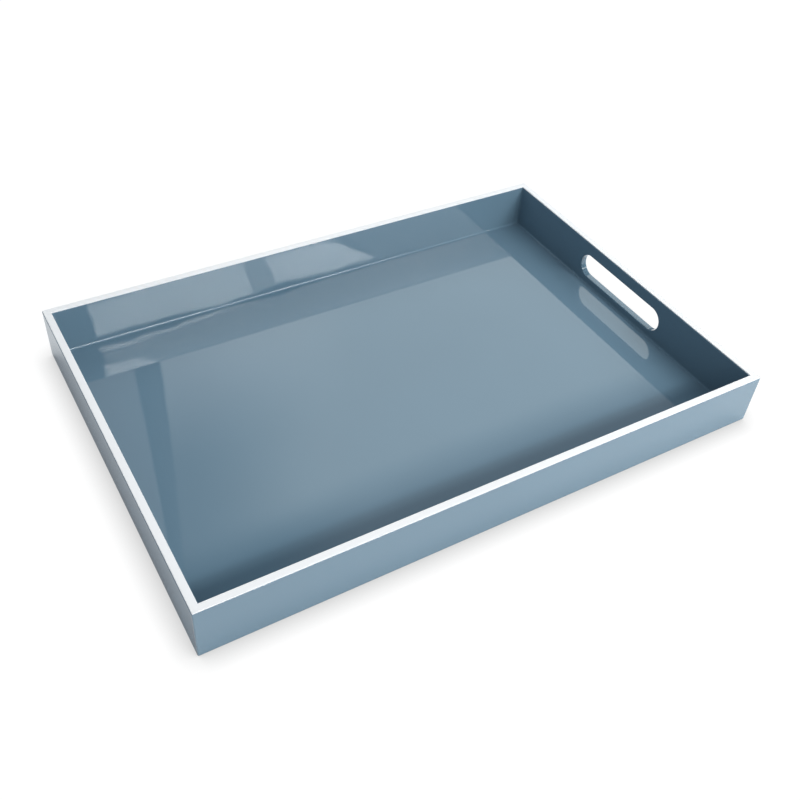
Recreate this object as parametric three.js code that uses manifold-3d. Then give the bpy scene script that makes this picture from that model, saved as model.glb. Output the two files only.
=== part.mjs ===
// A rectangular serving tray of lacquered board, with a hand slot through one end.
//
// Four thin wall boards are mitred at the corners and keyed there with hidden splines. The base
// panel lies in a rebate along the foot of the walls, a white strip caps each wall, and four thin
// felt pads under the base keep the lacquer off the table.
//
// Millimetres, +Z up. The origin is on the table, below the middle of the tray. +X runs along the
// tray to the end with the hand slot, and +Y runs across it to the far side.

import * as THREE from 'three';
import { mergeVertices } from 'three/addons/utils/BufferGeometryUtils.js';
import Module from 'manifold-3d';

// Overall size of the tray, over its walls
const TRAY_LENGTH = 457;
const TRAY_WIDTH = 311;
const WALL_HEIGHT = 43.8; // from the foot of a wall to the top of its rim strip
const WALL_THICKNESS = 6.1;
const OUTER_CORNER_RADIUS = 1;

// Base panel and the rebate that it lies in
const BASE_THICKNESS = 4;
const REBATE_DEPTH = 3; // how far the rebate is cut into each wall
const REBATE_CLEARANCE = 0.2; // between the panel's edge and the back of the rebate

// White strip on top of each wall
const RIM_THICKNESS = 0.8;
const RIM_SETBACK = 0.3; // from each face of the wall to the strip's edge

// Hand slot through the right end, a slot with round ends
const HAND_SLOT_LENGTH = 103.5;
const HAND_SLOT_HEIGHT = 21.5;
const HAND_SLOT_MARGIN = 11.8; // from the top of the rim strip down to the slot

// Splines across the mitres
const SPLINE_THICKNESS = 1.5;
const SPLINE_WIDTH = 4; // across the mitre
const SPLINE_COVER = 3.5; // board left above the spline's slot, and above the base panel below it

// Felt pads under the base
const PAD_DIAMETER = 20;
const PAD_THICKNESS = 0.7;
const PAD_INSET = 14; // from a wall's outer face to the pad's edge

// Joints
const MITRE_GAP = 0.1; // glue line between two mitred ends
const SPLINE_GAP = 0.15; // glue line around a spline

// Segments of a full circle
const CORNER_SEGMENTS = 32;
const SLOT_SEGMENTS = 64;
const PAD_SEGMENTS = 48;

// Heights above the table
const WALL_FOOT = PAD_THICKNESS;
const BASE_TOP = WALL_FOOT + BASE_THICKNESS;
const RIM_TOP = WALL_FOOT + WALL_HEIGHT;
const BOARD_TOP = RIM_TOP - RIM_THICKNESS;
const HAND_SLOT_CENTRE = RIM_TOP - HAND_SLOT_MARGIN - HAND_SLOT_HEIGHT / 2;
const SPLINE_FOOT = BASE_TOP + SPLINE_COVER;
const SPLINE_TOP = BOARD_TOP - SPLINE_COVER;

// Tools that stick out of the solid that they cut go this far past it
const CUT_MARGIN = 5;

const LACQUER_BLUE = new THREE.Color(0.31, 0.42, 0.5);
const LACQUER_WHITE = new THREE.Color(0.96, 0.97, 0.98);
const SPLINE_PLY = new THREE.Color(0.72, 0.58, 0.4);
const FELT_GREY = new THREE.Color(0.16, 0.17, 0.18);

const wasm = await Module();
wasm.setup();

// The solid of a closed three.js geometry, for joining and cutting.
function toSolid(geometry) {
  const bare = geometry.clone();
  bare.deleteAttribute('normal');
  bare.deleteAttribute('uv');
  const merged = mergeVertices(bare);
  const vertProperties = new Float32Array(merged.attributes.position.array);
  const triVerts = new Uint32Array(merged.index.array);
  return new wasm.Manifold(new wasm.Mesh({ numProp: 3, vertProperties, triVerts }));
}

// The flat-shaded three.js geometry of a solid.
function toGeometry(solid) {
  const mesh = solid.getMesh();
  const shared = new THREE.BufferGeometry();
  shared.setAttribute('position', new THREE.BufferAttribute(mesh.vertProperties, 3));
  shared.setIndex(new THREE.BufferAttribute(mesh.triVerts, 1));
  const geometry = shared.toNonIndexed();
  geometry.computeVertexNormals();
  return geometry;
}

// A flat outline in X and Y, raised from one height to another. Each of its arcs gets arcSegments
// straight steps, which is twice what three.js calls curveSegments.
function prism(shape, bottom, top, arcSegments = 2) {
  const settings = { depth: top - bottom, bevelEnabled: false, curveSegments: arcSegments / 2 };
  return new THREE.ExtrudeGeometry(shape, settings).translate(0, 0, bottom);
}

// A rectangle around the origin, with round corners where a radius is given.
function rectangle(length, width, radius = 0) {
  const x = length / 2;
  const y = width / 2;
  const shape = new THREE.Shape();
  if (radius === 0) {
    const corners = [[-x, -y], [x, -y], [x, y], [-x, y]];
    return shape.setFromPoints(corners.map(([cornerX, cornerY]) => new THREE.Vector2(cornerX, cornerY)));
  }
  shape.absarc(x - radius, -y + radius, radius, -Math.PI / 2, 0);
  shape.absarc(x - radius, y - radius, radius, 0, Math.PI / 2);
  shape.absarc(-x + radius, y - radius, radius, Math.PI / 2, Math.PI);
  shape.absarc(-x + radius, -y + radius, radius, Math.PI, 1.5 * Math.PI);
  shape.closePath();
  return shape;
}

// The band of the walls in plan, set back from both of their faces.
function wallBand(setback, bottom, top) {
  const outer = rectangle(
    TRAY_LENGTH - 2 * setback,
    TRAY_WIDTH - 2 * setback,
    OUTER_CORNER_RADIUS - setback,
  );
  const inset = 2 * (WALL_THICKNESS - setback);
  const inner = rectangle(TRAY_LENGTH - inset, TRAY_WIDTH - inset);
  const band = toSolid(prism(outer, bottom, top, CORNER_SEGMENTS / 4));
  return band.subtract(toSolid(prism(inner, bottom - CUT_MARGIN, top + CUT_MARGIN)));
}

// Everything between the two mitres of one wall, with half of the glue line left off each mitre.
// span is the tray's size along the wall, reach its size across it, and angle turns the near side
// onto the wall.
function mitreSector(span, reach, angle) {
  const setback = MITRE_GAP * Math.SQRT1_2;
  const depth = Math.min(span, reach) / 2 - setback;
  const foot = -reach / 2;
  const outline = new THREE.Shape([
    new THREE.Vector2(-span / 2 + setback, foot),
    new THREE.Vector2(span / 2 - setback, foot),
    new THREE.Vector2(span / 2 - setback - depth, foot + depth),
    new THREE.Vector2(-span / 2 + setback + depth, foot + depth),
  ]);
  const sector = prism(outline, WALL_FOOT - CUT_MARGIN, RIM_TOP + CUT_MARGIN);
  return toSolid(sector.rotateZ(angle));
}

const WALLS = [
  { name: 'near_side', span: TRAY_LENGTH, reach: TRAY_WIDTH, angle: 0 },
  { name: 'right_end', span: TRAY_WIDTH, reach: TRAY_LENGTH, angle: Math.PI / 2 },
  { name: 'far_side', span: TRAY_LENGTH, reach: TRAY_WIDTH, angle: Math.PI },
  { name: 'left_end', span: TRAY_WIDTH, reach: TRAY_LENGTH, angle: -Math.PI / 2 },
];

const CORNERS = [
  { name: 'near_right', x: 1, y: -1 },
  { name: 'far_right', x: 1, y: 1 },
  { name: 'far_left', x: -1, y: 1 },
  { name: 'near_left', x: -1, y: -1 },
];

// One upright key across a mitre, larger all round by the given clearance.
function splineGeometry(corner, clearance) {
  const width = SPLINE_WIDTH + 2 * clearance;
  const thickness = SPLINE_THICKNESS + 2 * clearance;
  const key = prism(rectangle(width, thickness), SPLINE_FOOT - clearance, SPLINE_TOP + clearance);
  const acrossMitre = -corner.x * corner.y * Math.PI / 4;
  const x = corner.x * (TRAY_LENGTH - WALL_THICKNESS) / 2;
  const y = corner.y * (TRAY_WIDTH - WALL_THICKNESS) / 2;
  return key.rotateZ(acrossMitre).translate(x, y, 0);
}

// The space for the base panel, cut out of the foot of the walls.
function rebateCut() {
  const inset = 2 * (WALL_THICKNESS - REBATE_DEPTH);
  const outline = rectangle(TRAY_LENGTH - inset, TRAY_WIDTH - inset);
  return toSolid(prism(outline, WALL_FOOT - CUT_MARGIN, BASE_TOP));
}

// The hand slot, as a bar with round ends that runs through the right end wall.
function handSlotCut() {
  const radius = HAND_SLOT_HEIGHT / 2;
  const straight = HAND_SLOT_LENGTH - HAND_SLOT_HEIGHT;
  const outline = new THREE.Shape();
  outline.absarc(straight / 2, 0, radius, -Math.PI / 2, Math.PI / 2);
  outline.absarc(-straight / 2, 0, radius, Math.PI / 2, 1.5 * Math.PI);
  outline.closePath();
  const start = TRAY_LENGTH / 2 - WALL_THICKNESS - CUT_MARGIN;
  const bar = prism(outline, start, TRAY_LENGTH / 2 + CUT_MARGIN, SLOT_SEGMENTS / 2);
  bar.rotateX(Math.PI / 2).rotateZ(Math.PI / 2);
  return toSolid(bar.translate(0, 0, HAND_SLOT_CENTRE));
}

const lacquer = new THREE.MeshStandardMaterial({ color: LACQUER_BLUE, roughness: 0.06, metalness: 0 });
const rimLacquer = new THREE.MeshStandardMaterial({ color: LACQUER_WHITE, roughness: 0.12, metalness: 0 });
const ply = new THREE.MeshStandardMaterial({ color: SPLINE_PLY, roughness: 0.8, metalness: 0 });
const felt = new THREE.MeshStandardMaterial({ color: FELT_GREY, roughness: 1, metalness: 0 });

const tray = new THREE.Group();
tray.name = 'tray';

function addPiece(name, geometry, material) {
  const piece = new THREE.Mesh(geometry, material.clone());
  piece.name = name;
  tray.add(piece);
  return piece;
}

// Wall boards: rebated for the base, slotted for the splines and mitred. The right end has the
// hand slot.
function addWalls() {
  let boards = wallBand(0, WALL_FOOT, BOARD_TOP).subtract(rebateCut());
  for (const corner of CORNERS) {
    boards = boards.subtract(toSolid(splineGeometry(corner, SPLINE_GAP)));
  }
  boards = boards.subtract(handSlotCut());
  for (const wall of WALLS) {
    const board = boards.intersect(mitreSector(wall.span, wall.reach, wall.angle));
    addPiece(`${wall.name}_wall`, toGeometry(board), lacquer);
  }
}

// Rim strips: one on each wall, mitred on the same lines as the walls.
function addRims() {
  const band = wallBand(RIM_SETBACK, BOARD_TOP, RIM_TOP);
  for (const wall of WALLS) {
    const strip = band.intersect(mitreSector(wall.span, wall.reach, wall.angle));
    addPiece(`${wall.name}_rim`, toGeometry(strip), rimLacquer);
  }
}

// Base panel: fills the rebate, flush with the foot of the walls.
function addBase() {
  const inset = 2 * (WALL_THICKNESS - REBATE_DEPTH + REBATE_CLEARANCE);
  const geometry = new THREE.BoxGeometry(TRAY_LENGTH - inset, TRAY_WIDTH - inset, BASE_THICKNESS);
  const panel = addPiece('base_panel', geometry, lacquer);
  panel.position.z = WALL_FOOT + BASE_THICKNESS / 2;
}

function addSplines() {
  for (const corner of CORNERS) {
    addPiece(`${corner.name}_spline`, splineGeometry(corner, 0), ply);
  }
}

// Felt pads: one near each corner of the base, stuck to its underside.
function addPads() {
  const radius = PAD_DIAMETER / 2;
  for (const corner of CORNERS) {
    const disc = new THREE.CylinderGeometry(radius, radius, PAD_THICKNESS, PAD_SEGMENTS);
    const pad = addPiece(`${corner.name}_pad`, disc.rotateX(Math.PI / 2), felt);
    pad.position.set(
      corner.x * (TRAY_LENGTH / 2 - PAD_INSET - radius),
      corner.y * (TRAY_WIDTH / 2 - PAD_INSET - radius),
      PAD_THICKNESS / 2,
    );
  }
}

addBase();
addWalls();
addRims();
addSplines();
addPads();

export default tray;
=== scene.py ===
"""Looks of a lacquered serving tray: its boards, rim, floor, pads, finishes and studio.

The tray stands on the ground at z = 0, with +X towards the end with the hand slot. All sizes are
metres. Sizes that the frame holds are read from it, and the rest are fields of the classes below.
"""
import logging
import math
from dataclasses import dataclass, field
from enum import Enum
from functools import cache

import bmesh
import bpy
import mathutils
import numpy as np
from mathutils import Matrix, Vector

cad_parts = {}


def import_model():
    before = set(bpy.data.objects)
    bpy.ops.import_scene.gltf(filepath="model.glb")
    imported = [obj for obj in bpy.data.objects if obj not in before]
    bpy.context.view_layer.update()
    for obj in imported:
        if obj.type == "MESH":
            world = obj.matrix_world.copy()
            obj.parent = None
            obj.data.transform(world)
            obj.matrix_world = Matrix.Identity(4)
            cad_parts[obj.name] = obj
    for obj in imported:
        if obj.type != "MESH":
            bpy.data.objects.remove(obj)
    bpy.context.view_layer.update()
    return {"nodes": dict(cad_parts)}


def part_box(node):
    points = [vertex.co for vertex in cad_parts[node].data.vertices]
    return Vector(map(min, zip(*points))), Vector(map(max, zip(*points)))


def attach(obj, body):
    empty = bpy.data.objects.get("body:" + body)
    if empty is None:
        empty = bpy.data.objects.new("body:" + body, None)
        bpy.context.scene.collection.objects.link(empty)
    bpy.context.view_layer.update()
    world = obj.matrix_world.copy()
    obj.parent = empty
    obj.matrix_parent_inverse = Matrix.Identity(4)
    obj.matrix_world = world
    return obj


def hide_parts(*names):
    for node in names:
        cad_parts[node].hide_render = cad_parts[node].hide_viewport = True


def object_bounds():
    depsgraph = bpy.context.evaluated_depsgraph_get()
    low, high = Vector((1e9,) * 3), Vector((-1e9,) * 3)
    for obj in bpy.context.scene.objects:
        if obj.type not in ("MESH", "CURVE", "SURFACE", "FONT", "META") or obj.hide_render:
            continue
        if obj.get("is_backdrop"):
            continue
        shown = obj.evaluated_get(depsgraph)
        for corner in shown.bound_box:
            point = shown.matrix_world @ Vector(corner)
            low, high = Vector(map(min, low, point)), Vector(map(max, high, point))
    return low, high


log = logging.getLogger("tray")

BODY = "root"
MM = 0.001
SMOOTH_ANGLE = 35.0
WHITE_LIGHT = (1.0, 1.0, 1.0)

Span = tuple[float, float]
Colour = tuple[float, float, float]
Point = tuple[float, float, float]


class Slot(Enum):
    """Material slots of the record, passed to each new piece's build."""

    TRAY = "tray_lacquer"
    RIM = "rim_lacquer"
    PAD = "pad_felt"


class Side(Enum):
    """The four walls, as the quarter turns that bring the near wall onto each of them."""

    NEAR = ("near_side", 0)
    RIGHT = ("right_end", 1)
    FAR = ("far_side", 2)
    LEFT = ("left_end", 3)

    @property
    def node(self) -> str:
        """First words of the wall's node names."""
        return self.value[0]

    @property
    def turns(self) -> int:
        """Quarter turns about +Z from the near wall."""
        return self.value[1]


class Corner(Enum):
    """The four corners, anticlockwise."""

    NEAR_RIGHT = "near_right"
    FAR_RIGHT = "far_right"
    FAR_LEFT = "far_left"
    NEAR_LEFT = "near_left"

    @property
    def node(self) -> str:
        """First words of the corner's node names."""
        return self.value


@dataclass(frozen=True)
class TraySizes:
    """Sizes of the tray that the frame gives.

    Attributes:
        length: Size over the walls along X.
        width: Size over the walls along Y.
        wall: Thickness of a wall board.
        foot: Height of the walls' lower edge.
        floor: Height of the base panel's upper face.
        board_top: Height of the boards' upper edge, where the rim strips start.
        rim_top: Height of the rim.
        lip: Thickness of the wall beside the base panel.
    """

    length: float
    width: float
    wall: float
    foot: float
    floor: float
    board_top: float
    rim_top: float
    lip: float

    @classmethod
    def from_frame(cls, rebate_clearance: float = 0.2 * MM) -> "TraySizes":
        """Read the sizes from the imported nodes.

        Args:
            rebate_clearance: Gap between the base panel's edge and the wall beside it.

        Returns:
            The sizes, in metres.
        """
        low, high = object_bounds()
        wall_low, wall_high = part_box("near_side_wall")
        base_low, base_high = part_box("base_panel")
        return cls(
            length=high[0] - low[0],
            width=high[1] - low[1],
            wall=wall_high[1] - wall_low[1],
            foot=wall_low[2],
            floor=base_high[2],
            board_top=wall_high[2],
            rim_top=high[2],
            lip=base_low[1] - rebate_clearance - wall_low[1],
        )

    def span(self, side: Side) -> float:
        """Length of the tray along one of its walls."""
        return self.width if side.turns % 2 else self.length

    def reach(self, side: Side) -> float:
        """Size of the tray across one of its walls."""
        return self.length if side.turns % 2 else self.width


def quarter_turn(points: np.ndarray, turns: int) -> np.ndarray:
    """Turn points about +Z by whole quarter turns, without rounding.

    Args:
        points: Array of points, with x, y and z last.
        turns: Number of quarter turns, anticlockwise.

    Returns:
        The turned points.
    """
    cos, sin = ((1, 0), (0, 1), (-1, 0), (0, -1))[turns % 4]
    turned = points.copy()
    turned[..., 0] = cos * points[..., 0] - sin * points[..., 1]
    turned[..., 1] = sin * points[..., 0] + cos * points[..., 1]
    return turned


def arc(centre: Span, radius: float, start: float, end: float, steps: int) -> np.ndarray:
    """Points of a circular arc: centre + radius * (cos a, sin a), for a from start to end.

    Args:
        centre: Centre of the arc.
        radius: Radius of the arc.
        start: First angle, in degrees.
        end: Last angle, in degrees.
        steps: Number of straight steps.

    Returns:
        Array of steps + 1 points.
    """
    angle = np.radians(np.linspace(start, end, steps + 1))
    return np.column_stack((centre[0] + radius * np.cos(angle), centre[1] + radius * np.sin(angle)))


@dataclass
class Surface:
    """Vertices and faces of one piece, gathered from grids and caps.

    Attributes:
        name: Name of the piece.
        vertices: Arrays of points, in the order in which they are joined.
        faces: Faces as lists of indices into the joined vertices.
    """

    name: str
    vertices: list[np.ndarray] = field(default_factory=list)
    faces: list[list[int]] = field(default_factory=list)

    def add_grid(self, grid: np.ndarray, closed_rows: bool = False, closed_columns: bool = False) -> int:
        """Add a surface given on a grid of two parameters, as quads between neighbours.

        Args:
            grid: Array of rows by columns by 3.
            closed_rows: Whether the last row joins the first.
            closed_columns: Whether the last column joins the first.

        Returns:
            Index of the grid's first vertex.
        """
        rows, columns = grid.shape[:2]
        start = sum(len(block) for block in self.vertices)
        self.vertices.append(grid.reshape(-1, 3))
        row = np.arange(rows if closed_rows else rows - 1)[:, None]
        column = np.arange(columns if closed_columns else columns - 1)[None, :]
        next_row = (row + 1) % rows
        next_column = (column + 1) % columns
        quads = np.stack(
            (
                row * columns + column,
                row * columns + next_column,
                next_row * columns + next_column,
                next_row * columns + column,
            ),
            axis=-1,
        )
        self.faces.extend((quads.reshape(-1, 4) + start).tolist())
        return start

    def add_caps(self, ring: np.ndarray, shift: int) -> None:
        """Close both ends of a tube with one flat face each.

        Args:
            ring: Indices of the vertices around its first end.
            shift: Step from an index there to the index of the same place at its last end.
        """
        self.faces.append(ring[::-1].tolist())
        self.faces.append((ring + shift).tolist())

    def as_object(self, smooth_angle: float) -> bpy.types.Object:
        """Make the Blender object.

        Args:
            smooth_angle: Edges that turn more than this many degrees are sharp.

        Returns:
            The object, which isn't a piece of the tray yet.
        """
        mesh = bpy.data.meshes.new(self.name)
        mesh.from_pydata(np.concatenate(self.vertices).tolist(), [], self.faces)
        tidy_mesh(mesh, smooth_angle)
        return place_object(self.name, mesh)

    def build(self, slot: Slot, smooth_angle: float = SMOOTH_ANGLE) -> bpy.types.Object:
        """Make the Blender object of a piece of the tray.

        Args:
            slot: Material slot of the record. It is not used.
            smooth_angle: Edges that turn more than this many degrees are sharp.

        Returns:
            The object, riding on the tray.
        """
        piece = self.as_object(smooth_angle)
        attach(piece, BODY)
        return piece


def place_object(name: str, data: bpy.types.ID) -> bpy.types.Object:
    """Make an object of a mesh, lamp or camera, and link it to the scene."""
    made = bpy.data.objects.new(name, data)
    bpy.context.scene.collection.objects.link(made)
    return made


def tidy_mesh(mesh: bpy.types.Mesh, smooth_angle: float, merge: float = 0.002 * MM) -> None:
    """Merge doubles, drop faces without area, point the faces out and set the smoothing.

    Args:
        mesh: Mesh to change.
        smooth_angle: Edges that turn more than this many degrees are sharp.
        merge: Vertices closer than this become one.
    """
    work = bmesh.new()
    work.from_mesh(mesh)
    bmesh.ops.remove_doubles(work, verts=work.verts, dist=merge)
    bmesh.ops.dissolve_degenerate(work, edges=work.edges, dist=merge)
    bmesh.ops.recalc_face_normals(work, faces=work.faces)
    work.to_mesh(mesh)
    work.free()
    mesh.polygons.foreach_set("use_smooth", np.ones(len(mesh.polygons), dtype=bool))
    mesh.set_sharp_from_angle(angle=math.radians(smooth_angle))


def weight_normals(piece: bpy.types.Object, pull: int = 100) -> None:
    """Let the large flat faces keep their own normals, so only the round edges shade round.

    Args:
        piece: The piece.
        pull: How much the large faces count, up to 100.
    """
    weighted = piece.modifiers.new("flat_faces_first", "WEIGHTED_NORMAL")
    weighted.mode = "FACE_AREA"
    weighted.weight = pull
    weighted.keep_sharp = True


@dataclass
class WallSection:
    """A closed cross-section, carried along one wall from mitre to mitre.

    The section is in (depth, height): depth is the distance in from the tray's outer face. In plan
    the wall's outer corners are rounded, so a point at depth d follows the tray's outline at an
    inset of d: straight along the wall, then an arc of radius (corner_radius - d) up to the mitre.

    Attributes:
        sizes: Sizes of the tray.
        corner_radius: Radius of the tray's outer corners in plan.
        corner_steps: Steps of half an outer corner.
    """

    sizes: TraySizes
    corner_radius: float = 1.0 * MM
    corner_steps: int = 6

    def sweep(self, side: Side, section: np.ndarray, name: str, stations: int = 2) -> Surface:
        """Carry a section along a wall and close it at both mitres.

        Args:
            side: The wall.
            section: Points of the section, as rows of depth and height, in order around it.
            name: Name of the piece.
            stations: Number of places along the straight stretch.

        Returns:
            The closed surface.
        """
        depth = section[None, :, 0]
        radius = np.maximum(self.corner_radius - depth, 0.0)
        straight_end = self.sizes.span(side) / 2 - np.maximum(self.corner_radius, depth)
        turn = np.radians(np.linspace(0.0, 45.0, self.corner_steps + 1))[1:, None]
        right_along = straight_end + radius * np.sin(turn)
        right_depth = depth + radius * (1.0 - np.cos(turn))
        share = np.linspace(-1.0, 1.0, stations)[:, None]
        along = np.concatenate((-right_along[::-1], share * straight_end, right_along))
        inward = np.concatenate((right_depth[::-1], depth + 0.0 * share, right_depth))
        height = np.broadcast_to(section[None, :, 1], along.shape)
        grid = np.stack((along, inward - self.sizes.reach(side) / 2, height), axis=-1)
        surface = Surface(name)
        start = surface.add_grid(quarter_turn(grid, side.turns), closed_columns=True)
        columns = len(section)
        surface.add_caps(np.arange(columns) + start, (len(along) - 1) * columns)
        return surface


@dataclass
class HandSlot:
    """The hand slot in the right end: a slot with round ends and softly rounded mouths.

    Attributes:
        sizes: Sizes of the tray.
        length: Overall length along Y.
        height: Overall height.
        margin: From the top of the rim strip down to the slot.
        mouth: Radius of the rounding where the slot meets the wall's faces.
        end_steps: Steps of one round end.
        mouth_steps: Steps of one rounded mouth.
        overrun: How far the cutting shape runs past both faces.
    """

    sizes: TraySizes
    length: float = 103.5 * MM
    height: float = 21.5 * MM
    margin: float = 11.8 * MM
    mouth: float = 0.9 * MM
    end_steps: int = 40
    mouth_steps: int = 7
    overrun: float = 3.0 * MM

    def cutter(self) -> bpy.types.Object:
        """Make the shape that is cut out of the wall.

        The outline is a slot of half height h and straight length s. Its loops stand at depth t
        from the nearer face and are wider all round by mouth - sqrt(mouth^2 - (mouth - t)^2),
        which rounds the mouth as a quarter circle.

        Returns:
            A closed object, not part of the tray.
        """
        half = self.height / 2
        centre = self.sizes.rim_top - self.margin - half
        straight = self.length / 2 - half
        angle = np.radians(np.linspace(0.0, 90.0, self.mouth_steps + 1))
        rounding = self.mouth * (1.0 - np.sin(angle))
        widening = self.mouth * (1.0 - np.cos(angle))
        outer = self.sizes.length / 2
        inner = outer - self.sizes.wall
        places = np.concatenate(([inner - self.overrun], inner + rounding[::-1]))
        places = np.concatenate((places, outer - rounding, [outer + self.overrun]))
        extra = np.concatenate(([self.mouth], widening[::-1], widening, [self.mouth]))
        right = np.radians(np.linspace(-90.0, 90.0, self.end_steps + 1))
        turn = np.concatenate((right, right + math.pi))
        shift = np.where(np.arange(len(turn)) <= self.end_steps, straight, -straight)
        reach = half + extra[:, None]
        grid = np.stack(
            (
                np.broadcast_to(places[:, None], (len(places), len(turn))),
                shift + reach * np.cos(turn),
                centre + reach * np.sin(turn),
            ),
            axis=-1,
        )
        surface = Surface("hand_slot_cutter")
        start = surface.add_grid(grid, closed_columns=True)
        surface.add_caps(np.arange(len(turn)) + start, (len(places) - 1) * len(turn))
        return surface.as_object(SMOOTH_ANGLE)

    def cut(self, wall: bpy.types.Object) -> None:
        """Cut the slot out of a wall's mesh.

        Args:
            wall: The right end wall.
        """
        cutter = self.cutter()
        boolean = wall.modifiers.new("hand_slot", "BOOLEAN")
        boolean.operation = "DIFFERENCE"
        boolean.solver = "EXACT"
        boolean.object = cutter
        bpy.context.view_layer.update()
        evaluated = wall.evaluated_get(bpy.context.evaluated_depsgraph_get())
        mesh = bpy.data.meshes.new_from_object(evaluated)
        wall.modifiers.remove(boolean)
        old = wall.data
        wall.data = mesh
        bpy.data.meshes.remove(old)
        mesh.name = wall.name
        bpy.data.objects.remove(cutter)
        tidy_mesh(mesh, SMOOTH_ANGLE)


@dataclass
class WallBoards:
    """The four lacquered wall boards, mitred at the corners and rebated for the base panel.

    Attributes:
        sizes: Sizes of the tray.
        foot_radius: Rounding of the outer lower edge.
        top_radius: Rounding of both upper edges, beside the rim strip.
        edge_steps: Steps of one rounded edge.
    """

    sizes: TraySizes
    foot_radius: float = 0.5 * MM
    top_radius: float = 0.3 * MM
    edge_steps: int = 5

    def section(self) -> np.ndarray:
        """Work out the outline of a board across its length.

        Returns:
            Rows of depth and height, in order around it.
        """
        sizes = self.sizes
        foot, top = self.foot_radius, self.top_radius
        steps = self.edge_steps
        outer_foot = arc((foot, sizes.foot + foot), foot, 270.0, 180.0, steps)
        outer_top = arc((top, sizes.board_top - top), top, 180.0, 90.0, steps)
        inner_top = arc((sizes.wall - top, sizes.board_top - top), top, 90.0, 0.0, steps)
        rebate = [(sizes.wall, sizes.floor), (sizes.lip, sizes.floor), (sizes.lip, sizes.foot)]
        return np.concatenate((outer_foot, outer_top, inner_top, rebate))

    def build(self) -> list[bpy.types.Object]:
        """Make the boards, with the hand slot through the right end.

        Returns:
            The four objects.
        """
        path = WallSection(self.sizes)
        boards = []
        for side in Side:
            board = path.sweep(side, self.section(), f"{side.node}_board").build(Slot.TRAY)
            if side is Side.RIGHT:
                HandSlot(self.sizes).cut(board)
            weight_normals(board)
            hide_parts(f"{side.node}_wall")
            boards.append(board)
        return boards


@dataclass
class RimStrips:
    """The four white strips on top of the walls.

    Attributes:
        sizes: Sizes of the tray.
        setback: Distance from each face of the wall to the strip.
        edge_radius: Rounding of the upper edges.
        edge_steps: Steps of one rounded edge.
    """

    sizes: TraySizes
    setback: float = 0.3 * MM
    edge_radius: float = 0.3 * MM
    edge_steps: int = 5

    def section(self) -> np.ndarray:
        """Work out the outline of a strip across its length.

        Returns:
            Rows of depth and height, in order around it.
        """
        sizes = self.sizes
        radius = self.edge_radius
        low = sizes.board_top
        outer, inner = self.setback, sizes.wall - self.setback
        centre = sizes.rim_top - radius
        outer_top = arc((outer + radius, centre), radius, 180.0, 90.0, self.edge_steps)
        inner_top = arc((inner - radius, centre), radius, 90.0, 0.0, self.edge_steps)
        return np.concatenate(([(outer, low)], outer_top, inner_top, [(inner, low)]))

    def build(self) -> list[bpy.types.Object]:
        """Make the strips.

        Returns:
            The four objects.
        """
        path = WallSection(self.sizes)
        strips = []
        for side in Side:
            strip = path.sweep(side, self.section(), f"{side.node}_strip").build(Slot.RIM)
            weight_normals(strip)
            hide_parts(f"{side.node}_rim")
            strips.append(strip)
        return strips


@dataclass
class BasePanel:
    """The floor of the tray, with softened edges.

    Attributes:
        sizes: Sizes of the tray.
        edge_radius: Rounding of the panel's edges.
        edge_steps: Steps of one rounded edge.
    """

    sizes: TraySizes
    edge_radius: float = 0.25 * MM
    edge_steps: int = 4

    def build(self) -> bpy.types.Object:
        """Make the panel: a closed edge profile carried around its rectangle, and two flat faces.

        Returns:
            The object.
        """
        low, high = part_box("base_panel")
        radius = self.edge_radius
        lower = arc((radius, low[2] + radius), radius, 270.0, 180.0, self.edge_steps)
        upper = arc((radius, high[2] - radius), radius, 180.0, 90.0, self.edge_steps)
        profile = np.concatenate((lower, upper))
        corners = np.array([(-1, -1), (1, -1), (1, 1), (-1, 1)])
        half = np.array([(high[0] - low[0]) / 2, (high[1] - low[1]) / 2])
        plan = corners[:, None, :] * (half - profile[None, :, :1])
        height = np.broadcast_to(profile[None, :, 1:], (4, len(profile), 1))
        surface = Surface("floor_panel")
        start = surface.add_grid(np.concatenate((plan, height), axis=-1), closed_rows=True)
        surface.add_caps(np.arange(4) * len(profile) + start, len(profile) - 1)
        panel = surface.build(Slot.TRAY)
        weight_normals(panel)
        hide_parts("base_panel")
        return panel


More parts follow.
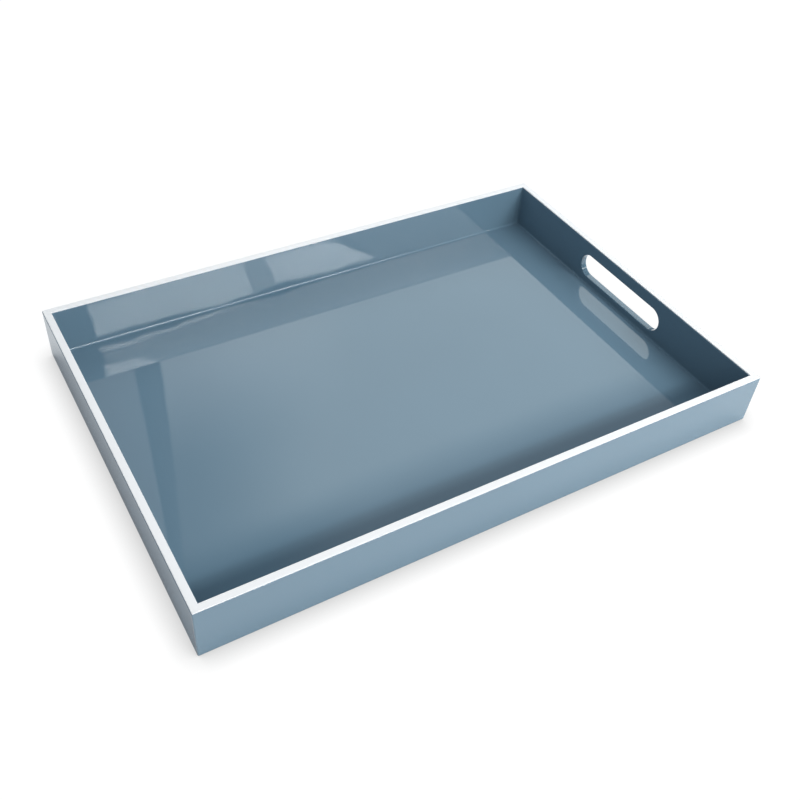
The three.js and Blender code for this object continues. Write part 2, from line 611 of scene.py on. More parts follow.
@dataclass
class LacquerBead:
    """The hollow bead of lacquer in the inner corners: around the floor and up the four corners.

    Around the floor the bead is a quarter circle, carried along a rectangle whose corners are
    rounded with the same radius, so that a ball of that radius fits the three-way corners.

    Attributes:
        sizes: Sizes of the tray.
        radius: Radius of the hollow.
        root: How far the bead runs into the boards behind it.
        steps: Steps of the hollow, and of each rounded corner.
        smooth_angle: Edges that turn more than this many degrees are sharp.
    """

    sizes: TraySizes
    radius: float = 1.7 * MM
    root: float = 0.15 * MM
    steps: int = 8
    smooth_angle: float = 50.0

    def outline(self, inset: np.ndarray) -> np.ndarray:
        """Plan of the inner faces, inset by each of the given distances, as closed loops.

        Args:
            inset: One distance for each loop.

        Returns:
            Array of plan points, corners by columns of inset, with x and y last.
        """
        half_x = self.sizes.length / 2 - self.sizes.wall
        half_y = self.sizes.width / 2 - self.sizes.wall
        turn = np.radians(np.linspace(0.0, 90.0, self.steps + 1))
        angle = np.concatenate([turn + quarter * math.pi / 2 for quarter in range(4)])[:, None]
        signs = np.repeat(np.array([(1, 1), (-1, 1), (-1, -1), (1, -1)]), self.steps + 1, axis=0)
        round_part = np.maximum(self.radius - inset, 0.0)[None, :]
        straight = np.maximum(self.radius, inset)[None, :]
        x = signs[:, :1] * (half_x - straight) + round_part * np.cos(angle)
        y = signs[:, 1:] * (half_y - straight) + round_part * np.sin(angle)
        return np.stack((x, y), axis=-1)

    def build(self) -> bpy.types.Object:
        """Make the bead as one closed ring and four closed uprights.

        Returns:
            The object.
        """
        radius, root = self.radius, self.root
        floor = self.sizes.floor
        hollow = arc((radius, floor + radius), radius, 180.0, 270.0, self.steps)
        back = np.array([(radius, floor - root), (-root, floor - root), (-root, floor + radius)])
        section = np.concatenate((hollow, back))
        plan = self.outline(section[:, 0])
        height = np.broadcast_to(section[None, :, 1:], plan.shape[:2] + (1,))
        surface = Surface("lacquer_bead")
        ring = np.concatenate((plan, height), axis=-1)
        surface.add_grid(ring, closed_rows=True, closed_columns=True)
        top = self.sizes.board_top - WallBoards(self.sizes).top_radius
        for corner in range(4):
            self.add_upright(surface, corner, floor + radius, top)
        return surface.build(Slot.TRAY, self.smooth_angle)

    def add_upright(self, surface: Surface, corner: int, low: float, high: float) -> None:
        """Add the bead up one inner corner.

        Args:
            surface: Surface that takes the bead.
            corner: Number of the corner, anticlockwise from the far right one.
            low: Height of its foot.
            high: Height of its top.
        """
        start = corner * (self.steps + 1)
        hollow = self.outline(np.zeros(1))[start:start + self.steps + 1, 0]
        half = np.array([self.sizes.length / 2, self.sizes.width / 2]) - self.sizes.wall + self.root
        sign = np.sign(hollow[0])
        first, last = hollow[0].copy(), hollow[-1].copy()
        if corner % 2:
            first[1], last[0] = sign[1] * half[1], sign[0] * half[0]
        else:
            first[0], last[1] = sign[0] * half[0], sign[1] * half[1]
        loop = np.concatenate((hollow, [last, sign * half, first]))
        rows = [np.column_stack((loop, np.full(len(loop), height))) for height in (low, high)]
        begin = surface.add_grid(np.stack(rows), closed_columns=True)
        surface.add_caps(np.arange(len(loop)) + begin, len(loop))


@dataclass
class FeltPads:
    """The four felt pads under the base, with a soft edge and a slightly uneven rim.

    Attributes:
        edge_radius: Rounding of both edges of a pad.
        around: Steps around a pad.
        edge_steps: Steps of one rounded edge.
        raggedness: Greatest change of a pad's radius around its edge.
        slow_waves: Number of slow waves around the edge.
        fast_waves: Number of fast waves around the edge.
        fast_share: Height of the fast waves against the slow ones.
    """

    edge_radius: float = 0.3 * MM
    around: int = 96
    edge_steps: int = 5
    raggedness: float = 0.08 * MM
    slow_waves: int = 7
    fast_waves: int = 17
    fast_share: float = 0.6

    def build(self) -> list[bpy.types.Object]:
        """Make the pads: the edge profile turned about each pad's axis, with a slightly wavy radius.

        Returns:
            The four objects.
        """
        pads = []
        for number, corner in enumerate(Corner):
            low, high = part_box(f"{corner.node}_pad")
            centre = ((low[0] + high[0]) / 2, (low[1] + high[1]) / 2)
            radius = (high[0] - low[0]) / 2 - self.raggedness
            edge = self.edge_radius
            lower = arc((radius - edge, low[2] + edge), edge, 270.0, 360.0, self.edge_steps)
            upper = arc((radius - edge, high[2] - edge), edge, 0.0, 90.0, self.edge_steps)
            profile = np.concatenate((lower, upper))
            angle = np.linspace(0.0, 2 * math.pi, self.around, endpoint=False)[:, None]
            wave = np.sin(self.slow_waves * angle + number)
            wave += self.fast_share * np.sin(self.fast_waves * angle + 2 * number)
            ragged = 1.0 + self.raggedness / radius * wave / (1.0 + self.fast_share)
            reach = profile[None, :, 0] * ragged
            grid = np.stack(
                (
                    centre[0] + reach * np.cos(angle),
                    centre[1] + reach * np.sin(angle),
                    np.broadcast_to(profile[None, :, 1], reach.shape),
                ),
                axis=-1,
            )
            surface = Surface(f"{corner.node}_felt")
            start = surface.add_grid(grid, closed_rows=True)
            surface.add_caps(np.arange(self.around) * len(profile) + start, len(profile) - 1)
            pad = surface.build(Slot.PAD)
            weight_normals(pad)
            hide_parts(f"{corner.node}_pad")
            pads.append(pad)
        return pads


Socket = bpy.types.NodeSocket
Value = float | Socket
Inputs = dict[str | int, object]

# Narrowest fade, in metres, and the numbers of a Mix node's sockets for colours.
SHARP = 1e-4
MIX_FIRST, MIX_SECOND, MIX_RESULT = 6, 7, 2


class NodeMaker:
    """Adds nodes to a tree and joins them."""

    def __init__(self, tree: bpy.types.NodeTree) -> None:
        """Keep the tree."""
        self.tree = tree

    def node(self, kind: str, inputs: Inputs | None = None, **settings: object) -> bpy.types.Node:
        """Add a node.

        Args:
            kind: Its type.
            inputs: Values of its inputs, or the outputs of other nodes that feed them.
            **settings: Its properties.

        Returns:
            The node.
        """
        made = self.tree.nodes.new(kind)
        for key, value in settings.items():
            setattr(made, key, value)
        self.feed(made, inputs or {})
        return made

    def feed(self, node: bpy.types.Node, inputs: Inputs) -> None:
        """Give a node's inputs values, or join outputs of other nodes to them.

        Args:
            node: The node.
            inputs: The values or outputs, by the name or number of the input.
        """
        for key, value in inputs.items():
            if isinstance(value, Socket):
                self.tree.links.new(value, node.inputs[key])
            else:
                node.inputs[key].default_value = value

    def math(self, operation: str, *values: Value) -> Socket:
        """Output of a Math node whose inputs are numbers or outputs of other nodes."""
        return self.node("ShaderNodeMath", dict(enumerate(values)), operation=operation).outputs[0]

    def ramp(self, value: Socket, width: float) -> Socket:
        """A value from 0 at 0 to 1 at the width, with smooth ends."""
        inputs = {"Value": value, "From Max": max(width, SHARP)}
        return self.node("ShaderNodeMapRange", inputs, interpolation_type="SMOOTHSTEP").outputs["Result"]

    def spread(self, value: Socket, start: float, end: float, low: Value, high: Value) -> Socket:
        """A value that goes from low to high as the given one goes from start to end."""
        inputs = {"Value": value, "From Min": start, "From Max": end, "To Min": low, "To Max": high}
        return self.node("ShaderNodeMapRange", inputs).outputs["Result"]

    def mix(self, factor: Socket, first: Colour, second: Colour) -> Socket:
        """A colour that goes from the first to the second as the factor goes from 0 to 1."""
        inputs = {"Factor": factor, MIX_FIRST: (*first, 1.0), MIX_SECOND: (*second, 1.0)}
        return self.node("ShaderNodeMix", inputs, data_type="RGBA").outputs[MIX_RESULT]

    def place(self) -> Socket:
        """The place on the object, in metres."""
        return self.node("ShaderNodeTexCoord").outputs["Object"]

    def noise(self, place: Socket, scale: Value, **inputs: float) -> Socket:
        """Noise between 0 and 1, with scale waves per metre and the node's other inputs by name."""
        return self.node("ShaderNodeTexNoise", {"Vector": place, "Scale": scale, **inputs}).outputs["Fac"]

    def rays(self) -> tuple[Socket, Socket]:
        """Tell rays apart.

        Returns:
            Whether a ray comes from the camera, and whether it comes from gloss or through glass.
        """
        path = self.node("ShaderNodeLightPath").outputs
        mirrored = self.math("MAXIMUM", path["Is Glossy Ray"], path["Is Transmission Ray"])
        return path["Is Camera Ray"], mirrored


class GroupMaker(NodeMaker):
    """Adds nodes to a new node group.

    Attributes:
        given: The group's inputs.
    """

    def __init__(self, name: str, inputs: tuple[str, ...], output: str) -> None:
        """Make the group with its sockets.

        Args:
            name: Its name.
            inputs: Names of its inputs, where Colour takes a colour and any other a number.
            output: Name of its output.
        """
        super().__init__(bpy.data.node_groups.new(name, "ShaderNodeTree"))
        for label, side in (*((label, "INPUT") for label in inputs), (output, "OUTPUT")):
            kind = "NodeSocketColor" if label == "Colour" else "NodeSocketFloat"
            self.tree.interface.new_socket(label, in_out=side, socket_type=kind)
        self.given = self.node("NodeGroupInput").outputs

    def finish(self, value: Socket) -> bpy.types.NodeTree:
        """Put a value out, and return the group."""
        self.node("NodeGroupOutput", {0: value})
        return self.tree


class NodeGroups:
    """Shader node groups that more than one finish uses, each built once."""

    @staticmethod
    @cache
    def mottle() -> bpy.types.NodeTree:
        """Build the group for a colour that wanders a little around the given one.

        Returns:
            Group with inputs Colour, Amount and Scale, and output Colour.
        """
        maker = GroupMaker("mottle", ("Colour", "Amount", "Scale"), "Colour")
        given = maker.given
        noise = maker.noise(maker.place(), given["Scale"], Detail=3.0)
        low = maker.math("SUBTRACT", 1.0, given["Amount"])
        high = maker.math("ADD", 1.0, given["Amount"])
        inputs = {0: given["Colour"], "Scale": maker.spread(noise, 0.3, 0.7, low, high)}
        return maker.finish(maker.node("ShaderNodeVectorMath", inputs, operation="SCALE").outputs[0])

    @staticmethod
    @cache
    def film() -> bpy.types.NodeTree:
        """Build the group for the height of a sprayed film, as fine orange peel on slow waves.

        Returns:
            Group with inputs Peel Scale, Wave Scale and Wave Share, and output Height.
        """
        maker = GroupMaker("sprayed_film", ("Peel Scale", "Wave Scale", "Wave Share"), "Height")
        given = maker.given
        peel = maker.noise(maker.place(), given["Peel Scale"], Detail=1.0)
        wave = maker.noise(maker.place(), given["Wave Scale"], Detail=1.0)
        return maker.finish(maker.math("MULTIPLY_ADD", wave, given["Wave Share"], peel))

    @staticmethod
    @cache
    def smudge() -> bpy.types.NodeTree:
        """Build the group for a roughness that is a little higher where a surface was wiped.

        Returns:
            Group with inputs Low, High and Scale, and output Roughness.
        """
        maker = GroupMaker("wiped_smudge", ("Low", "High", "Scale"), "Roughness")
        given = maker.given
        noise = maker.noise(maker.place(), given["Scale"], Detail=5.0, Roughness=0.65, Distortion=0.6)
        return maker.finish(maker.spread(noise, 0.45, 0.75, given["Low"], given["High"]))


class MaterialMaker(NodeMaker):
    """Adds nodes to a new material.

    Attributes:
        material: The material.
    """

    def __init__(self, name: str) -> None:
        """Make the material."""
        self.material = bpy.data.materials.new(name)
        self.material.use_nodes = True
        super().__init__(self.material.node_tree)

    def group(self, tree: bpy.types.NodeTree, **inputs: object) -> Socket:
        """Output of a node group, with its inputs named with _ for a space."""
        values = {key.replace("_", " "): value for key, value in inputs.items()}
        return self.node("ShaderNodeGroup", values, node_tree=tree).outputs[0]

    def mottled(self, colour: Colour, amount: float, scale: float) -> Socket:
        """A colour that wanders by the amount around the given one."""
        return self.group(NodeGroups.mottle(), Colour=(*colour, 1.0), Amount=amount, Scale=scale)

    def bump(self, height: Socket, strength: float, distance: float) -> Socket:
        """Normal of a surface with the given height on it."""
        inputs = {"Strength": strength, "Distance": distance, "Height": height}
        return self.node("ShaderNodeBump", inputs).outputs["Normal"]

    def shade(self, inputs: Inputs) -> bpy.types.Material:
        """Feed the shader's inputs, and return the material."""
        self.feed(self.tree.nodes["Principled BSDF"], inputs)
        return self.material


SLATE_BLUE = (0.1366, 0.225, 0.2975)


@dataclass(frozen=True)
class LacquerFinish:
    """A sprayed lacquer.

    Attributes:
        name: Name of the material.
        colour: Linear base colour.
        roughness: Lowest and highest roughness.
        mottle: Share by which the colour wanders.
        mottle_scale: Waves of the mottle per metre.
        smudge_scale: Waves of the smudges per metre.
        peel: Depth of the orange peel, in metres.
        peel_scale: Bumps per metre.
        wave_scale: Slow waves per metre.
        wave_share: Height of the slow waves against the orange peel.
        ior: Index of refraction.
        gloss: Strength of the mirrored light, where a film of that index has 0.5.
    """

    name: str
    colour: Colour
    roughness: Span
    mottle: float = 0.02
    mottle_scale: float = 9.0
    smudge_scale: float = 16.0
    peel: float = 0.002 * MM
    peel_scale: float = 220.0
    wave_scale: float = 14.0
    wave_share: float = 4.0
    ior: float = 1.5
    gloss: float = 0.52

    def make(self) -> bpy.types.Material:
        """Make the material.

        Returns:
            The material.
        """
        maker = MaterialMaker(self.name)
        low, high = self.roughness
        film = maker.group(
            NodeGroups.film(),
            Peel_Scale=self.peel_scale,
            Wave_Scale=self.wave_scale,
            Wave_Share=self.wave_share,
        )
        return maker.shade(
            {
                "Base Color": maker.mottled(self.colour, self.mottle, self.mottle_scale),
                "Roughness": maker.group(NodeGroups.smudge(), Low=low, High=high, Scale=self.smudge_scale),
                "Normal": maker.bump(film, 1.0, self.peel),
                "IOR": self.ior,
                "Specular IOR Level": self.gloss,
            }
        )


@dataclass(frozen=True)
class FeltFinish:
    """Pressed felt.

    Attributes:
        name: Name of the material.
        colour: Linear base colour.
        mottle: Share by which the colour wanders.
        mottle_scale: Waves of the mottle per metre.
        fibre_scale: Fibres per metre.
        relief: Share of the fibres' depth that shows.
        depth: Depth of the fibres, in metres.
        roughness: Roughness of the felt.
        sheen: Strength of the light on the fibres' tips.
        sheen_roughness: Its roughness.
    """

    name: str
    colour: Colour
    mottle: float = 0.35
    mottle_scale: float = 900.0
    fibre_scale: float = 1400.0
    relief: float = 0.8
    depth: float = 0.12 * MM
    roughness: float = 0.95
    sheen: float = 0.4
    sheen_roughness: float = 0.5

    def make(self) -> bpy.types.Material:
        """Make the material.

        Returns:
            The material.
        """
        maker = MaterialMaker(self.name)
        fibre = maker.noise(maker.place(), self.fibre_scale, Detail=3.0, Distortion=1.5)
        return maker.shade(
            {
                "Base Color": maker.mottled(self.colour, self.mottle, self.mottle_scale),
                "Roughness": self.roughness,
                "Normal": maker.bump(fibre, self.relief, self.depth),
                "Sheen Weight": self.sheen,
                "Sheen Roughness": self.sheen_roughness,
            }
        )


@dataclass(frozen=True)
class PlyFinish:
    """Bare plywood of the hidden splines, with a fine upright grain.

    Attributes:
        name: Name of the material.
        light: Linear colour between the grain lines.
        dark: Linear colour of the grain lines.
        grain: Grain lines per metre along X, Y and Z.
        roughness: Roughness of the wood.
    """

    name: str
    light: Colour
    dark: Colour
    grain: Point = (900.0, 900.0, 40.0)
    roughness: float = 0.7

    def make(self) -> bpy.types.Material:
        """Make the material.

        Returns:
            The material.
        """
        maker = MaterialMaker(self.name)
        stretched = maker.node("ShaderNodeMapping", {"Vector": maker.place(), "Scale": self.grain})
        grain = maker.noise(stretched.outputs["Vector"], 1.0, Detail=4.0)
        ramp = maker.node("ShaderNodeValToRGB", {"Fac": grain})
        for stop, colour in zip(ramp.color_ramp.elements, (self.dark, self.light)):
            stop.color = (*colour, 1.0)
        return maker.shade({"Base Color": ramp.outputs["Color"], "Roughness": self.roughness})


SLATE_FLOOR = LacquerFinish("slate_floor_lacquer", SLATE_BLUE, (0.01, 0.03), wave_share=35.0)
SLATE_WALLS = LacquerFinish(
    "slate_wall_lacquer", SLATE_BLUE, (0.01, 0.03), wave_scale=22.0, wave_share=60.0
)
SLATE_BEAD = LacquerFinish("slate_bead_lacquer", SLATE_BLUE, (0.008, 0.012))
WHITE = LacquerFinish("white_satin_lacquer", (0.88, 0.89, 0.9), (0.3, 0.36), mottle=0.01, gloss=0.12)
DARK_FELT = FeltFinish("dark_felt", (0.035, 0.038, 0.042))
BARE_PLY = PlyFinish("bare_ply", light=(0.52, 0.36, 0.2), dark=(0.3, 0.19, 0.1))


def dress(piece: bpy.types.Object, material: bpy.types.Material) -> None:
    """Give a piece one material all over."""
    piece.data.materials.clear()
    piece.data.materials.append(material)


Corners = tuple[Span, Span, Span, Span]


@dataclass(frozen=True)
class SoftBox:
    """A rectangular lamp.

    Attributes:
        name: Name of the lamp.
        radiance: Brightness of its face, where a white page in full light has 1.
        colour: Colour of its light.
    """

    name: str
    radiance: float
    colour: Colour

    def hang(self, place: np.ndarray, target: np.ndarray, size: np.ndarray) -> bpy.types.Object:
        """Make the lamp. Its power is pi * area * radiance, as Cycles spreads it.

        Args:
            place: Centre of its face.
            target: Point that it shines at, with its own Y upwards.
            size: Length and width of its face.

        Returns:
            The lamp.
        """
        lamp = bpy.data.lights.new(self.name, "AREA")
        lamp.shape = "RECTANGLE"
        lamp.size, lamp.size_y = size
        lamp.energy = self.radiance * float(np.prod(size)) * math.pi
        lamp.color = self.colour
        light = place_object(self.name, lamp)
        turn = mathutils.Vector(target - place).to_track_quat("-Z", "Y")
        light.matrix_world = mathutils.Matrix.Translation(place) @ turn.to_matrix().to_4x4()
        return light


@dataclass(frozen=True)
class Panel(SoftBox):
    """An upright lamp that faces straight along Y, with four straight sides and soft edges.

    Attributes:
        y: Where its face stands. Lamps that overlap in one plane would hide each other.
        corners: X and Z of its corners: lower -X, lower +X, upper +X and upper -X.
        fades: Widths of the soft edges along its lower, +X, upper and -X sides.
        rounding: Width over which the sides pass into each other at the corners.
    """

    y: float
    corners: Corners
    fades: tuple[float, float, float, float] = (0.0, 0.0, 0.0, 0.0)
    rounding: float = 0.0

    def box(self) -> tuple[np.ndarray, np.ndarray]:
        """Lowest and highest X and Z of the corners."""
        corners = np.array(self.corners)
        return corners.min(axis=0), corners.max(axis=0)

    def build(self) -> None:
        """Make the lamp, with its shape."""
        low, high = self.box()
        middle = (low + high) / 2
        place = np.array([middle[0], self.y, middle[1]])
        self.shape(self.hang(place, place * (1.0, 0.0, 1.0), high - low).data)

    def shape(self, lamp: bpy.types.Light) -> None:
        """Let the brightness rise smoothly from 0 at a side to 1 at the fade's width inside it.

        A point's distance to a side is n . (point - corner), where n is the side's normal, inwards.

        Args:
            lamp: The lamp.
        """
        lamp.use_nodes = True
        maker = NodeMaker(lamp.node_tree)
        face = maker.node("ShaderNodeNewGeometry").outputs["Parametric"]
        split = maker.node("ShaderNodeSeparateXYZ", {0: face}).outputs
        low, high = self.box()
        start, along = (high[0], low[0] - high[0]) if self.y > 0.0 else (low[0], high[0] - low[0])
        corners = np.array(self.corners)
        distances = []
        for corner, side in zip(corners, np.roll(corners, -1, axis=0) - corners):
            normal = np.array([-side[1], side[0]]) / np.hypot(*side)
            offset = normal @ (np.array([start, low[1]]) - corner)
            part = maker.math("MULTIPLY_ADD", split["X"], normal[0] * along, offset)
            rise = normal[1] * (high[1] - low[1])
            distances.append(maker.math("MULTIPLY_ADD", split["Y"], rise, part))
        if self.rounding > 0.0:
            nearest = distances[0]
            for distance in distances[1:]:
                nearest = maker.math("SMOOTH_MIN", nearest, distance, self.rounding)
            level = maker.ramp(nearest, max(self.fades))
        else:
            level = maker.ramp(distances[0], self.fades[0])
            for distance, fade in zip(distances[1:], self.fades[1:]):
                level = maker.math("MULTIPLY", level, maker.ramp(distance, fade))
        maker.feed(lamp.node_tree.nodes["Emission"], {"Strength": level})


@dataclass(frozen=True)
class Overhead(SoftBox):
    """The lamp above the tray, which looks at the tray's middle.

    Attributes:
        place: Centre of its face.
        size: Length and width of its face.
    """

    place: Point
    size: Span

    def build(self) -> None:
        """Make the lamp."""
        self.hang(np.array(self.place), np.zeros(3), np.array(self.size))


def level_corners(x: Span, z: Span) -> Corners:
    """Corners of a panel whose sides run straight along X and Z."""
    return ((x[0], z[0]), (x[1], z[0]), (x[1], z[1]), (x[0], z[1]))


LAMPS: tuple[Panel | Overhead, ...] = (
    Panel(
        "back_right_base", 0.455, (1.01, 1.01, 0.98), y=1.7, fades=(0.0, 0.4, 0.3, 0.015),
        corners=((0.269, 0.9), (3.0, 0.9), (3.0, 2.55), (0.239, 2.55)),
    ),
    Panel(
        "back_right_glow", 1.4, (0.97, 1.03, 1.01), y=1.72, fades=(0.0, 0.6, 0.3, 0.6),
        corners=level_corners((0.262, 3.0), (0.9, 2.55)),
    ),
    Panel(
        "back_gap_glow", 0.096, (1.0, 1.0, 0.99), y=1.705, fades=(0.0, 0.01, 0.3, 0.07),
        corners=level_corners((0.19, 0.26), (0.9, 2.55)),
    ),
    Panel(
        "back_left_panel", 0.768, (0.99, 0.95, 0.93), y=1.7, fades=(0.0, 0.012, 0.3, 1.1),
        corners=((-0.9, 0.9), (0.18, 0.9), (0.2155, 2.55), (-0.9, 2.55)),
    ),
    Panel(
        "back_left_glow", 1.17, (1.0, 1.0, 0.99), y=1.71, fades=(0.0, 0.6, 0.6, 0.015),
        corners=((0.269, 0.9), (1.0, 0.9), (1.0, 1.95), (0.25, 1.95)),
    ),
    Panel(
        "back_top_glow", 0.624, (1.01, 1.0, 0.99), y=1.71, fades=(0.2, 0.8, 0.45, 0.6),
        corners=level_corners((0.5, 3.4), (2.3, 3.0)),
    ),
    Panel(
        "key_left", 24.6, (0.98, 1.02, 1.03), y=-1.5, fades=(0.01, 0.01, 0.01, 0.01), rounding=0.035,
        corners=((0.09, 1.213), (0.588, 1.213), (0.621, 1.346), (0.114, 1.346)),
    ),
    Panel(
        "key_right", 29.2, (0.99, 1.02, 1.05), y=-1.5, fades=(0.01, 0.01, 0.01, 0.01), rounding=0.03,
        corners=((0.648, 1.213), (0.885, 1.221), (1.075, 1.34), (0.685, 1.34)),
    ),
    Panel(
        "key_wedge", 28.8, (1.01, 1.01, 1.0), y=-1.5, fades=(0.008, 0.008, 0.0, 0.008),
        corners=((0.108, 1.404), (0.235, 1.47), (0.42, 1.49), (0.116, 1.56)),
    ),
    Panel(
        "key_streak", 24.0, (0.97, 0.99, 0.99), y=-1.5, fades=(0.003, 0.3, 0.003, 0.008),
        corners=((0.112, 1.386), (0.66, 1.372), (0.66, 1.383), (0.114, 1.405)),
    ),
    Panel(
        "front_band", 16.3, (1.04, 1.01, 0.95), y=-1.52, fades=(0.0, 0.85, 0.0, 0.02),
        corners=((0.12, 1.398), (2.05, 1.36), (2.05, 1.6), (0.12, 1.6)),
    ),
    Panel(
        "front_dim_panel", 20.6, (0.98, 1.01, 1.0), y=-1.51, fades=(0.0, 0.04, 0.01, 0.01),
        corners=((0.09, 1.15), (0.845, 1.15), (1.085, 1.36), (0.118, 1.36)),
    ),
    Panel(
        "front_right_panel", 8.94, (0.99, 1.01, 1.0), y=-1.505, fades=(0.0, 0.6, 0.0, 0.04),
        corners=((0.805, 1.15), (2.6, 1.15), (2.6, 1.36), (1.045, 1.36)),
    ),
    Panel(
        "front_mid_panel", 8.7, (1.06, 0.99, 0.94), y=-1.515,
        corners=level_corners((0.1, 1.0), (0.85, 1.18)),
    ),
    Overhead("top_panel", 0.564, (1.02, 1.0, 0.99), place=(0.0, 0.0, 2.2), size=(1.2, 1.0)),
)


@dataclass
class Studio:
    """Ground, surrounding and lamps.

    Attributes:
        ground_size: Side of the square ground.
        ground_colour: Diffuse colour of the ground.
        ground_seen: Its diffuse colour where the camera sees it.
        ground_lift: Brightness added to the ground where the camera sees it.
        painted_shadow_reach: Reach of the painted contact shadow beside the tray.
        painted_shadow_samples: Rays that find how much of the sky the tray hides, for the painted shadow.
        painted_shadow_depth: Share of the lift that the painted shadow takes where the whole sky is
            hidden.
        painted_shade_depth: Share of the diffuse colour that painted shade takes there, for all rays.
        ground_mirrored: Brightness added to it where it is seen in gloss or through glass, darkened
            towards the tray by painted shade.
        surround: Brightness of the world as a lamp.
        surround_colour: Its colour as a lamp.
        surround_seen: Brightness of the world in gloss and through glass.
        lamps: The lamps.
    """

    ground_size: float = 12.0
    ground_colour: Colour = (0.88, 0.88, 0.88)
    ground_seen: Colour = (0.06, 0.06, 0.06)
    ground_lift: float = 0.985
    painted_shadow_reach: float = 19.0 * MM
    painted_shadow_samples: int = 16
    painted_shadow_depth: float = 0.64
    painted_shade_depth: float = 0.3
    ground_mirrored: float = 0.422
    surround: float = 0.389
    surround_colour: Colour = (0.93, 1.0, 1.08)
    surround_seen: float = 0.0
    lamps: tuple[Panel | Overhead, ...] = LAMPS

    def paper(self) -> bpy.types.Material:
        """Make the ground's material.

        The camera sees lift * (1 - depth * hidden) and dim diffuse light, where hidden is the share
        of the sky that the tray hides within a short reach: a painted contact shadow. Gloss sees
        diffuse light and a lift with painted shade that deepens towards the tray, and other rays meet
        paper. For all rays the diffuse colour is darkened near the tray by painted shade.

        Returns:
            The material.
        """
        maker = MaterialMaker("ground_paper")
        maker.tree.nodes.clear()
        camera, mirrored = maker.rays()
        inputs = {"Distance": self.painted_shadow_reach}
        # Painted contact shadow: the share of open sky near the tray darkens the lift and the paper's
        # colour.
        sky = maker.node("ShaderNodeAmbientOcclusion", inputs, samples=self.painted_shadow_samples).outputs["AO"]
        painted_shadow = maker.math("MULTIPLY_ADD", sky, self.painted_shadow_depth, 1.0 - self.painted_shadow_depth)
        painted_shade = maker.math("MULTIPLY_ADD", sky, self.painted_shade_depth, 1.0 - self.painted_shade_depth)
        inputs = {0: maker.mix(camera, self.ground_colour, self.ground_seen), "Scale": painted_shade}
        colour = maker.node("ShaderNodeVectorMath", inputs, operation="SCALE").outputs[0]
        seen = maker.math("MULTIPLY", painted_shadow, self.ground_lift)
        # Painted shade in reflections: the lift that gloss sees fades with the square of the open sky.
        painted_mirror_shade = maker.math("MULTIPLY", maker.math("MULTIPLY", sky, sky), self.ground_mirrored)
        strength = maker.math("MULTIPLY_ADD", camera, seen, maker.math("MULTIPLY", mirrored, painted_mirror_shade))
        diffuse = maker.node("ShaderNodeBsdfDiffuse", {"Color": colour})
        lift = maker.node("ShaderNodeEmission", {"Strength": strength})
        both = maker.node("ShaderNodeAddShader", {0: diffuse.outputs[0], 1: lift.outputs[0]})
        maker.node("ShaderNodeOutputMaterial", {"Surface": both.outputs[0]})
        return maker.material

    def ground(self) -> None:
        """Make the ground: one large square that keeps the tray's shadow from the lamps, with a painted
        contact shadow around the tray.
        """
        half = self.ground_size / 2
        mesh = bpy.data.meshes.new("ground")
        corners = [(-half, -half, 0.0), (half, -half, 0.0), (half, half, 0.0), (-half, half, 0.0)]
        mesh.from_pydata(corners, [], [(0, 1, 2, 3)])
        ground = place_object("ground", mesh)
        ground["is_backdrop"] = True
        dress(ground, self.paper())

    def world(self) -> None:
        """Make the surrounding: white to the camera, dimmer in reflections and as a lamp."""
        world = bpy.data.worlds.new("surround")
        bpy.context.scene.world = world
        world.use_nodes = True
        maker = NodeMaker(world.node_tree)
        camera, mirrored = maker.rays()
        level = maker.math("MULTIPLY_ADD", mirrored, self.surround_seen - self.surround, self.surround)
        inputs = {
            "Color": maker.mix(camera, self.surround_colour, WHITE_LIGHT),
            "Strength": maker.math("MAXIMUM", camera, level),
        }
        maker.feed(world.node_tree.nodes["Background"], inputs)

    def build(self) -> None:
        """Make the studio."""
        self.ground()
        self.world()
        for lamp in self.lamps:
            lamp.build()


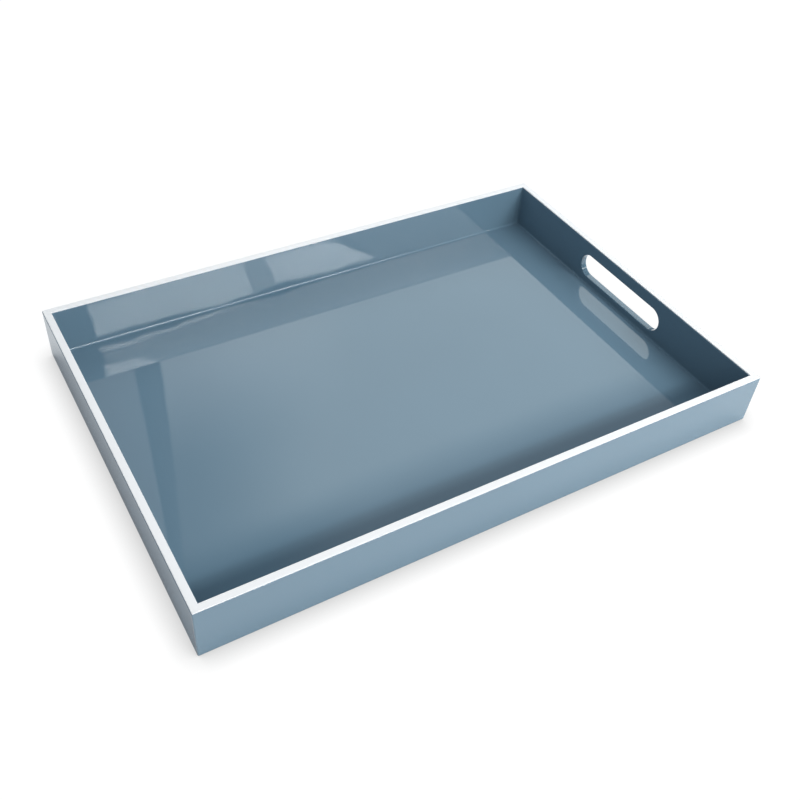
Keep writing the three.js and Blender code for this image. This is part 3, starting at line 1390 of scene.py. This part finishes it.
@dataclass(frozen=True)
class View:
    """The photograph's camera, fitted to the tray's corners.

    Attributes:
        azimuth: Turn of the camera about +Z, in degrees, 0 looking along +Y.
        elevation: Height of the camera above the ground, as an angle in degrees.
        roll: Roll about the line of sight, in degrees.
        distance: Distance to the target, in lengths of the tray.
        target: Point on the ground below the image centre, in lengths of the tray.
        focal: Focal length, in widths of the image.
        sensor: Width of the sensor, in millimetres.
        nearest: Distance from which the camera sees things.
    """

    azimuth: float = -33.549
    elevation: float = 43.164
    roll: float = -4.877
    distance: float = 1.64926
    target: Span = (-0.01273, -0.0331)
    focal: float = 961.52 / 800.0
    sensor: float = 36.0
    nearest: float = 10.0 * MM

    def build(self, sizes: TraySizes) -> bpy.types.Object:
        """Make the camera.

        Args:
            sizes: Sizes of the tray, for its length and the height of its foot.

        Returns:
            The camera, set as the scene's.
        """
        azimuth, elevation, roll = (math.radians(v) for v in (self.azimuth, self.elevation, self.roll))
        flat = math.cos(elevation)
        back = np.array([math.sin(azimuth) * flat, -math.cos(azimuth) * flat, math.sin(elevation)])
        target = np.array([*(share * sizes.length for share in self.target), sizes.foot])
        place = target + back * self.distance * sizes.length
        level = np.cross(-back, (0.0, 0.0, 1.0))
        level /= np.linalg.norm(level)
        down = np.cross(-back, level)
        right = math.cos(roll) * level + math.sin(roll) * down
        up = np.cross(back, right)
        axes = mathutils.Matrix((right, up, back)).transposed()
        data = bpy.data.cameras.new("view")
        data.sensor_width = self.sensor
        data.lens = self.focal * self.sensor
        data.clip_start = self.nearest
        camera = place_object("view", data)
        camera.matrix_world = mathutils.Matrix.Translation(place) @ axes.to_4x4()
        bpy.context.scene.camera = camera
        return camera


def main() -> None:
    """Build the tray and its studio."""
    logging.basicConfig(level=logging.INFO, format="%(name)s: %(message)s")
    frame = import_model()
    sizes = TraySizes.from_frame()
    log.info("sizes %s", sizes)
    View().build(sizes)

    walls, white = SLATE_WALLS.make(), WHITE.make()
    felt, ply = DARK_FELT.make(), BARE_PLY.make()
    pieces = [
        *((board, walls) for board in WallBoards(sizes).build()),
        *((strip, white) for strip in RimStrips(sizes).build()),
        (BasePanel(sizes).build(), SLATE_FLOOR.make()),
        (LacquerBead(sizes).build(), SLATE_BEAD.make()),
        *((pad, felt) for pad in FeltPads().build()),
        *((frame["nodes"][f"{corner.node}_spline"], ply) for corner in Corner),
    ]
    for piece, material in pieces:
        dress(piece, material)
        log.info("%s: %d faces, %s", piece.name, len(piece.data.polygons), material.name)

    Studio().build()
    bpy.context.scene.view_settings.view_transform = "Standard"


if __name__ == "__main__":
    main()
